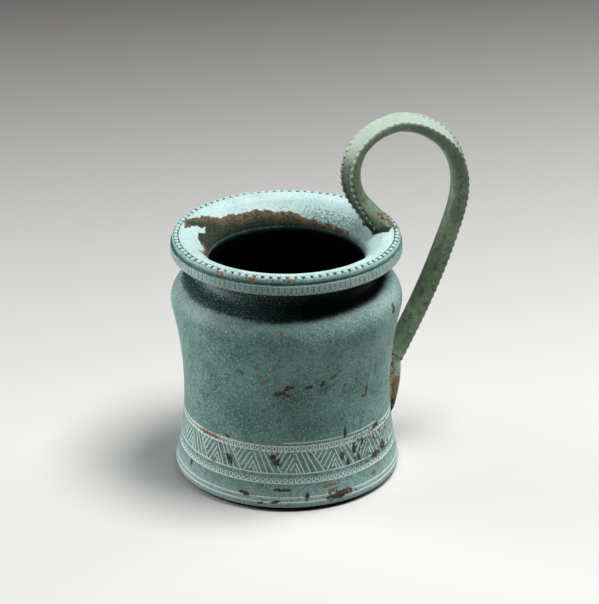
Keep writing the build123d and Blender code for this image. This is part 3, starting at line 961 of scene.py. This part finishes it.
bead = ball("rim_bead", BEAD_WIDTH, BEAD_LENGTH, BEAD_HEIGHT)
rim_beads = run_tree(bead, round_tree, "rim_beads", Count=BEADS, Radius=bead_centre[0] * MM,
                     Height=bead_centre[1] * MM, Wander=radians(0.25), Uneven=0.14, Seed=11,
                     Material=cup_patina)

# %% [markdown]
# ## The handle
# The handle is a cast strap. Its outer face is a shallow channel between two rows of beads, its
# inner face is round. It follows one line in the plane of symmetry: up from the rim, over, and
# down in a long easy curve. That line is the construction's own, arc after arc. The strap is
# swept along it here point by point, because its thickness changes on the way.

# %% The handle's line
strap_w, border_inset = 10.2, 0.85
root_dir = np.array((-sin(radians(32.9)), cos(radians(32.9))))
root_start = np.array((rim_r - 8.3, rim_top - 5.7))
ROOT_RUN = 13.5
root_end = root_start + ROOT_RUN * root_dir
HANDLE_ARCS = [(22.0, 32.9), (20.6, 90), (28.5, 90), (39.1, 19.8), (254.0, 10.2)]
heel_x, heel_z = 43.66, 35.17
LINE_STEP = 0.45


def follow(start, heading, arcs, step):
    """Points and headings along clockwise arcs, each tangent to the one before."""
    places, headings, lengths, gone = [start], [heading], [0.0], 0.0
    for radius, turn in arcs:
        count = round(radius * radians(turn) / step)
        small = -radians(turn) / count
        swing = np.array(((cos(small), -sin(small)), (sin(small), cos(small))))
        half = np.array(((cos(small / 2), -sin(small / 2)), (sin(small / 2), cos(small / 2))))
        chord = 2 * radius * sin(-small / 2)
        for _ in range(count):
            places.append(places[-1] + chord * (half @ headings[-1]))
            headings.append(swing @ headings[-1])
            gone += radius * -small
            lengths.append(gone)
    return places, headings, lengths


def extend(track, end, step):
    """Adds a straight run to the end of a track."""
    places, headings, lengths = track
    start, begun = places[-1], lengths[-1]
    run = float(np.hypot(*(end - start)))
    count = round(run / step)
    for k in range(1, count + 1):
        places.append(start + (end - start) * k / count)
        headings.append(headings[-1])
        lengths.append(begun + run * k / count)
    return places, headings, lengths


track = extend(follow(root_end, root_dir, HANDLE_ARCS, LINE_STEP), np.array((heel_x, heel_z)), LINE_STEP)
bow_length = track[2][-1]
print("handle line", round(bow_length, 1), "mm, ends heading", np.round(track[1][-1], 3))

# %% Strap
# Length along the line from the root's end in mm, with the strap's thickness in mm and its twist
# in degrees: the real strap was bent by hand, and its outer face turns a little to the camera
THICKNESS = [(-13.5, 7.9), (0, 5.95), (25, 4.85), (55, 5.75), (85, 6.8), (115, 6.7), (150, 6.1),
             (170, 6.0)]
TWIST = [(-13.5, 7), (0, 8), (20, 1.6), (40, -3.9), (60, 13.2), (80, 16.8), (100, 18.4), (125, 11),
         (160, 2), (175, 0)]
root_side, strap_side = 5.0, 1.6
ROOT_SPREAD = 9.5
# Depth below the line about which the twist turns
PIVOT = -1.2
# Depths in the section: channel, crest of the border, shoulder of the side
CHANNEL_DEPTH, CREST_DEPTH, SHOULDER_DEPTH = -0.75, -0.42, -0.95
ROOT_STATIONS = 24


def at_length(table, length):
    """Value of a table at a length along the line."""
    lengths, values = np.array(table, float).T
    return float(np.interp(length, lengths, values))


def twisted(flat, degrees):
    """Section points turned about the strap's middle and set back, so that none rises past the line."""
    c, s = cos(radians(degrees)), sin(radians(degrees))
    half = strap_w / 2
    # Shoulder, flank and top of the bead, on both borders
    reach = ((half, SHOULDER_DEPTH), (half - 0.3, -0.35), (half - border_inset, 0))
    edge = np.array([(x * k, y) for k in (-1, 1) for x, y in reach])
    highest = (edge[:, 0] * s + (edge[:, 1] - PIVOT) * c).max()
    x, y = flat[:, 0], flat[:, 1] - PIVOT
    return np.stack([x * c - y * s, x * s + y * c - highest], 1)


def strap_section(thickness, side, across=14):
    """Closed section of the strap: x across it, y outwards from the line, tops of the beads at 0."""
    half = strap_w / 2
    face = [(half, -side), (half, SHOULDER_DEPTH), (half - 0.3, -0.6),
            (half - border_inset, CREST_DEPTH), (half - 1.5, -0.62)]
    face += [(x, CHANNEL_DEPTH + 0.1 * (x / 3.2) ** 2) for x in (2.8, 1.4, 0.0)]
    mirrored = [(-x, y) for x, y in reversed(face[:-1])]
    turns = np.linspace(pi, 2 * pi, across)[1:-1]
    back = [(half * cos(t), -side + (thickness - side) * sin(t)) for t in turns]
    return np.array(face + mirrored + back)


def set_along(flat, place, heading):
    """Section points set square to the line at a place."""
    outward = np.array((-heading[1], heading[0]))
    x, z = (place[k] + flat[:, 1] * outward[k] for k in (0, 1))
    return np.stack([x, flat[:, 0], z], 1)


def station(place, heading, length):
    """One section of the strap at a place along its line."""
    in_root = max(0.0, -length / ROOT_RUN)
    side = strap_side + (root_side - strap_side) * in_root
    flat = twisted(strap_section(at_length(THICKNESS, length), side), at_length(TWIST, length))
    wider = ROOT_SPREAD * in_root ** 1.4
    depth = np.clip((-flat[:, 1] - 1) / (side - 1), 0, 1)
    flat[:, 0] *= 1 + wider * depth / (strap_w / 2)
    return set_along(flat, place, heading)


root_rows = [station(root_start + k / ROOT_STATIONS * ROOT_RUN * root_dir, root_dir,
                     (k / ROOT_STATIONS - 1) * ROOT_RUN) for k in range(ROOT_STATIONS)]
bow_rows = [station(*stop) for stop in zip(*track)]
print("strap has", len(root_rows) + len(bow_rows), "sections of", len(bow_rows[0]), "points")

# %% Seating the root
BED = 0.3


def seat_height(r):
    """Height of the rim's top and bell mouth with the solder's bed on it."""
    top = rim_top + 2 * BED
    grown = lip_round + 2 * BED
    inside = np.clip(lip_x - r, 0, grown * sin(pi / 4))
    curve = lip_c_z + np.sqrt(grown**2 - inside**2)
    past = np.clip(lip_x - r - grown * sin(pi / 4), 0, None)
    return np.where(r > lip_x, top, curve - past)


def trimmed(rows):
    """Ends every line of points where it meets the rim, and spaces its points evenly from there."""
    grid = np.array(rows)
    for column in range(grid.shape[1]):
        line = grid[:, column].copy()
        over = line[:, 2] - seat_height(np.hypot(line[:, 0], line[:, 1]))
        below = np.flatnonzero(over < 0)
        if len(below) == 0 or below[-1] + 1 == len(line):
            continue
        k = below[-1]
        share = k + over[k] / (over[k] - over[k + 1])
        wanted = np.linspace(share, len(line) - 1, len(line))
        for axis in range(3):
            grid[:, column, axis] = np.interp(wanted, np.arange(len(line)), line[:, axis])
    return list(grid)


def lofted(name, sections):
    """Closed piece through sections one after another, with a flat cap at both ends."""
    size = len(sections[0])
    last = size * (len(sections) - 1)
    faces = grid_faces(len(sections), size, close_rows=False)
    faces += [list(range(size))[::-1], list(range(last, last + size))]
    print(name, len(faces), "faces")
    return new_piece(name, np.concatenate(sections), faces)


section_size = len(bow_rows[0])
strap = lofted("handle_strap", trimmed(root_rows + bow_rows[:1])[:-1] + bow_rows)

# %% [markdown]
# ## Beads on the handle
# Both borders of the strap carry beads, like grains of wheat laid end to end. They follow the
# handle's line, so a tree walks along each border and sets one bead at every step, turned to the
# line. Over the top of the loop, where fingers rubbed, they are worn nearly flat.

# %% Tree that sets beads along a line
along_tree, given = group_with("beads_along", [
    ("Geometry", "NodeSocketGeometry"), ("Bead", "NodeSocketObject"), ("Pitch", "NodeSocketFloat"),
    ("Worn above", "NodeSocketFloat"), ("Seed", "NodeSocketInt"), ("Material", "NodeSocketMaterial")])
walked = add(along_tree, "GeometryNodeMeshToCurve", {"Mesh": given["Geometry"]})
steps = add(along_tree, "GeometryNodeResampleCurve", {"Curve": walked, "Length": given["Pitch"]},
            mode="LENGTH")
tangent = add(along_tree, "GeometryNodeInputTangent")
flat = add(along_tree, "FunctionNodeAlignRotationToVector", {"Vector": tangent}, axis="X",
           pivot_axis="Y")
spot = add(along_tree, "GeometryNodeInputPosition")
height, outward = (add(along_tree, "ShaderNodeSeparateXYZ", {0: spot}, give=axis) for axis in "ZX")
# The beads lose their height over the top of the loop, and again down the leg
worn_out = add(along_tree, "ShaderNodeMath", {0: given["Worn above"], 1: 12 * MM}, operation="ADD")
worn = add(along_tree, "ShaderNodeMapRange",
           {"Value": height, "From Min": given["Worn above"], "From Max": worn_out,
            "To Min": 1.0, "To Max": 0.3})
on_leg = add(along_tree, "ShaderNodeMapRange",
             {"Value": outward, "From Min": 36 * MM, "From Max": 42 * MM, "To Min": 1.0, "To Max": 0.25})
uneven = add(along_tree, "FunctionNodeRandomValue",
             {"Min": 0.82, "Max": 1.0, "Seed": given["Seed"]}, data_type="FLOAT")
tall = add(along_tree, "ShaderNodeMath", {0: worn, 1: on_leg}, operation="MULTIPLY")
shape = add(along_tree, "ShaderNodeCombineXYZ", {"X": uneven, "Y": 1.0, "Z": tall})
grain_bead = add(along_tree, "GeometryNodeObjectInfo", {"Object": given["Bead"]}, give="Geometry")
strung = add(along_tree, "GeometryNodeInstanceOnPoints",
             {"Points": steps, "Instance": grain_bead, "Rotation": flat, "Scale": shape})
close_tree(along_tree, strung, given["Material"])

# %% Handle beads
STRAP_PITCH = 2.55
strap_bead = ball("strap_bead", 2.1, 1.7, 1.35)
root_stops = [(root_start + (1 + gone / ROOT_RUN) * ROOT_RUN * root_dir, root_dir, gone)
              for gone in np.arange(-9.6, -0.4, 0.8)]
rows = []
for side in (-1, 1):
    crest = np.array([(side * (strap_w / 2 - border_inset), -0.62)])
    line = [set_along(twisted(crest, at_length(TWIST, gone)), place, heading)[0]
            for place, heading, gone in root_stops + list(zip(*track))]
    border = bare_edges("border_line", [line])
    rows.append(run_tree(border, along_tree, "handle_beads_near" if side < 0 else "handle_beads_far",
                         Bead=strap_bead, Pitch=STRAP_PITCH * MM, Worn_above=112 * MM, Seed=20 + side,
                         Material=handle_patina))
bpy.data.objects.remove(strap_bead)
handle_beads = join("handle_beads", rows)

# %% [markdown]
# ## The leaf
# At the bottom the strap ends in a lip, and a pointed leaf below it lies against the wall on a
# bed of solder. It was cast in one with the strap and filed to shape. It is lofted from level
# slices: each has the leaf's width and thickness at that height, flat behind and round in front.

# %% Leaf
LEAF_SEAT = wall_at(11.5) + 0.5
# Height, half width and thickness in mm, from the tip up
LEAF_SLICES = [(11.5, 0.05, 0.35), (12.0, 0.7, 0.9), (13.0, 1.3, 1.4), (14.5, 2.0, 1.95),
               (16.0, 2.6, 2.4), (19.0, 3.5, 2.8), (22.0, 4.2, 3.3), (25.0, 4.75, 3.7),
               (27.2, 5.0, 4.0), (30.0, 4.85, 4.25), (33.0, 4.65, 4.4), (35.2, 4.5, 4.4),
               (37.1, 4.4, 4.4)]


def leaf_slice(z, half, thick, front=15, behind=7):
    """One level slice of the leaf: rounded and slightly keeled in front, on the wall behind."""
    turns = np.linspace(-pi / 2, pi / 2, front)
    y = half * np.sin(turns)
    bulge = np.abs(np.cos(turns)) ** 0.55
    x = LEAF_SEAT + thick * (0.3 + 0.7 * bulge) * (1 - 0.05 * np.abs(np.sin(turns)))
    y_back = np.linspace(half, -half, behind)
    x_back = np.sqrt(LEAF_SEAT**2 - y_back**2)
    return np.stack([np.append(x, x_back), np.append(y, y_back), np.full(front + behind, z)], 1)


heights = np.linspace(LEAF_SLICES[0][0], LEAF_SLICES[-1][0], 46)
z_known, half_known, thick_known = np.array(LEAF_SLICES).T
slices = [leaf_slice(z, *(float(np.interp(z, z_known, known)) for known in (half_known, thick_known)))
          for z in heights]
leaf = lofted("handle_leaf", slices)

# %% Finish on the handle
# Stains as balls: middle and reach in mm. Earth on the leg, at the root and on the leaf's tip,
# rust beside the leaf and at the root, pale bloom where the leg meets the leaf
HANDLE_EARTH = [((54.5, -5.0, 62.0), 1.8), ((37.0, -8.0, 91.5), 3.6), ((33.5, -6.5, 93.5), 3.0),
                ((24.0, -3.5, 99.0), 1.6), ((47.0, -5.0, 41.0), 2.2), ((22.5, -4.5, 118.0), 1.3),
                ((39.5, -2.0, 14.0), 5.0), ((40.0, -3.0, 18.5), 3.0)]
HANDLE_RUST = [((41.5, -4.6, 27.5), 3.0), ((41.0, -4.4, 22.5), 2.6), ((37.5, -9.5, 90.8), 1.6)]
HANDLE_BLOOM = [((43.0, -4.6, 33.5), 3.2), ((41.0, -4.8, 29.0), 2.0)]


def near_balls(points, balls):
    """How near each point is to the middle of a ball: 1 in the middle, 0 well outside."""
    value = np.zeros(len(points))
    for middle, reach in balls:
        away = np.linalg.norm(points - np.array(middle), axis=1)
        value = np.maximum(value, np.exp(-(away / reach) ** 2))
    return value


def stains_and_painted_light_on(piece, bloom_and_light_all=0.0, deep=0.0):
    """Stains at listed places, pale bloom and painted top light where the handle faces up high on the
    loop, and painted shade on its undersides.
    """
    points = points_of(piece)
    normals = np.array([v.normal for v in piece.data.vertices])
    # Painted top light where the loop faces up, high on it, laid on with the bloom
    high = np.clip((points[:, 2] - 104) / 14, 0, 1) * np.clip(1.6 * normals[:, 2], 0, 1)
    write_on_points(piece, {
        "earth": 0.8 * near_balls(points, HANDLE_EARTH), "rust": near_balls(points, HANDLE_RUST),
        # Painted shade on the undersides, darker the more they face down
        "deep": np.maximum(0.75 * np.clip(-normals[:, 2], 0, 1), deep),
        "bloom": np.maximum(np.maximum(0.55 * high, bloom_and_light_all), near_balls(points, HANDLE_BLOOM)),
        "low_in_patch": np.clip((21 - points[:, 2]) / 5, 0, 1),
        "line": np.zeros(len(points))})


for part in (strap, leaf):
    part.data.materials.append(handle_patina)
# Painted shade: the strap is darker in the pits between the beads, and in its channel low on the loop's
# left
BORDER_COLUMNS, CHANNEL_COLUMNS = (2, 3, 4, 10, 11, 12), range(4, 11)
column = np.arange(len(strap.data.vertices)) % section_size
strap_x, _, strap_z = points_of(strap).T
pits = np.isin(column, BORDER_COLUMNS) * np.clip((114 - strap_z) / 10, 0, 1) * (strap_x < 50)
painted_channel_shade = (0.95 * np.isin(column, CHANNEL_COLUMNS) * np.clip((118 - strap_z) / 10, 0, 1)
               * (strap_x < 34))
stains_and_painted_light_on(strap, deep=np.maximum(pits, painted_channel_shade))
stains_and_painted_light_on(leaf)
# Pale bloom and painted highlights on the beads of the handle and the rim
stains_and_painted_light_on(handle_beads, bloom_and_light_all=0.35)
stains_and_painted_light_on(rim_beads, bloom_and_light_all=0.85)

# %% [markdown]
# ## Solder and floor
# The solder has long gone to a brown, pitted crust that creeps past its joint. Its pieces start
# from the construction's own bed and are roughened: finely remeshed, then moved by two sizes of
# noise. The floor disc is plain turned work and keeps its shape; it only gets its finish.

# %% Crusts
def crust_material(name, dark, light, size_mm):
    """Earth and lead crust: matt, lumpy, in two tones."""
    material, tree, place = mineral(name)
    grain = grains(tree, place, {"patches": (size_mm, 5.0, 0.7), "pits": (size_mm / 4, 3.0, 0.6)})
    share = shares(tree, {"patches": (grain["patches"], 0.4, 0.62)})
    tone = painted(tree, dark, [(share["patches"], light)])
    relief = add(tree, "ShaderNodeBump",
                 {"Height": grain["pits"], "Strength": 0.6, "Distance": 0.15 * MM})
    skin = add(tree, "ShaderNodeBsdfPrincipled",
               {"Base Color": tone, "Roughness": 0.92, "Normal": relief})
    add(tree, "ShaderNodeOutputMaterial", {"Surface": skin})
    return material


# Old lead and tin solder under earth: orange brown with whitish crumbs
solder_crust = crust_material("weathered_solder_crust", "#7a4c2e", "#ecd3b6", 1.1)
# The same under the handle's root, painted near black as the shade in the crack there
crack_shade_crust = crust_material("dark_crust_in_the_crack", "#0c0a08", "#3a2c1e", 1.2)
# Turned bronze disc under a thin, darker patina
disc_patina = crust_material("turned_disc_patina", "#4a5f52", "#6f8a7c", 9.0)


def crusted(name, node, seed, rise, crust):
    """Lumpy copy of a solder bed from the frame."""
    piece = put_in_scene(name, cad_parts[node].data.copy())
    remesh = piece.modifiers.new("fine", "REMESH")
    remesh.mode = "VOXEL"
    remesh.voxel_size = 0.22 * MM
    mesh = finished_mesh(piece)
    piece.modifiers.clear()
    piece.data = mesh
    points = points_of(piece)
    normals = np.array([v.normal for v in mesh.vertices])
    rough = 0.6 * lumps(points, 1.6, seed) + 0.4 * lumps(points, 0.6, seed + 1)
    points += normals * (rise * rough)[:, None]
    move_points(piece, points)
    mesh.materials.clear()
    mesh.materials.append(crust)
    print(name, len(mesh.polygons), "faces")
    return piece


rim_crust = crusted("rim_solder_crust", "rim_solder", 31, 0.2, crack_shade_crust)
leaf_crust = crusted("leaf_solder_crust", "leaf_solder", 37, 0.35, solder_crust)
for node, finish in (("floor_disc", disc_patina), ("floor_solder", solder_crust)):
    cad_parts[node].data.materials.clear()
    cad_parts[node].data.materials.append(finish)

# %% [markdown]
# ## Who stands for what
# Each new piece rides on the only body there is, and says which part of the construction it
# stands for. The floor disc and its solder are shown as they are.

# %% Ride and replace
STANDS_FOR = [
    *((piece, "cup", "cup_bronze") for piece in (foot, *bands, body, rim, rim_beads)),
    *((piece, "handle", "handle_bronze") for piece in (strap, handle_beads, leaf)),
    (rim_crust, "rim_solder", "solder"), (leaf_crust, "leaf_solder", "solder"),
]
for piece, node, finish in STANDS_FOR:
    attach(piece, "root")
    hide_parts(node)
    print(piece.name, "stands for", node)

# %% [markdown]
# ## Table, sweep and light
# The cup stands on a pale paper sweep. A broad soft lamp hangs high on the right, a weaker one
# fills from the left, and a strip behind lights the mouth and the top of the loop. The paper
# itself turns from white in front to grey at the back, as it does where the light falls off.

# %% Paper sweep
PAPER_SIZE = 3000


def sweep_material():
    """Matt paper that darkens slowly to the back, and throws little light on the cup."""
    material, tree, place = mineral("matt_paper_sweep")
    depth = add(tree, "ShaderNodeVectorMath", {0: place, 1: (0.22, 0.97, 0.0)}, give="Value",
                operation="DOT_PRODUCT")
    share = shares(tree, {"back": (depth, 0.0, 0.66)})
    seen = add(tree, "ShaderNodeLightPath", give="Is Camera Ray")
    for kind in ("Is Glossy Ray", "Is Transmission Ray"):
        ray = add(tree, "ShaderNodeLightPath", give=kind)
        seen = add(tree, "ShaderNodeMath", {0: seen, 1: ray}, operation="MAXIMUM")
    tone = painted(tree, "#e4e3e1", [(share["back"], "#4d4b4a")])
    tone = painted(tree, "#a4a4a2", [(seen, tone)])
    skin = add(tree, "ShaderNodeBsdfPrincipled",
               {"Base Color": tone, "Roughness": 0.9, "Specular IOR Level": 0.2})
    add(tree, "ShaderNodeOutputMaterial", {"Surface": skin})
    return material


half_paper = PAPER_SIZE / 2
corners = [(x * half_paper, y * half_paper, 0) for x, y in ((-1, -1), (1, -1), (1, 1), (-1, 1))]
paper = new_piece("paper_sweep", corners, [(0, 1, 2, 3)])
paper.data.materials.append(sweep_material())
print("paper", PAPER_SIZE, "mm square")

# %% Lamps
LOOK = Vector((0, 0, 55)) * MM
# Name, place to the right, towards the camera and up in mm, size in mm, and power in watts
LAMPS = [("overhead_softbox", 220, 50, 870, 340, 7.8), ("left_fill", -800, -120, 240, 500, 5.0),
         ("right_strip", 640, -350, 330, 350, 2.0)]
WORLD_STRENGTH = 0.03


def soft_lamp(name, right, towards, up, size, power):
    """Square lamp that looks at the cup, at a place given from the camera's side."""
    data = bpy.data.lights.new(name, "AREA")
    data.size = size * MM
    data.energy = power
    lamp = put_in_scene(name, data)
    side = Vector((cos(FRONT + pi / 2), sin(FRONT + pi / 2), 0))
    near = Vector((cos(FRONT), sin(FRONT), 0))
    lamp.location = (side * right + near * towards + Vector((0, 0, up))) * MM
    lamp.rotation_euler = (LOOK - lamp.location).to_track_quat("-Z", "Y").to_euler()


for lamp in LAMPS:
    soft_lamp(*lamp)
    print(lamp[0], lamp[-1], "W")
world = bpy.data.worlds.new("studio")
scene.world = world
world.use_nodes = True
world.node_tree.nodes["Background"].inputs["Color"].default_value = linear("#ffffff")
world.node_tree.nodes["Background"].inputs["Strength"].default_value = WORLD_STRENGTH
scene.view_settings.view_transform = "Standard"
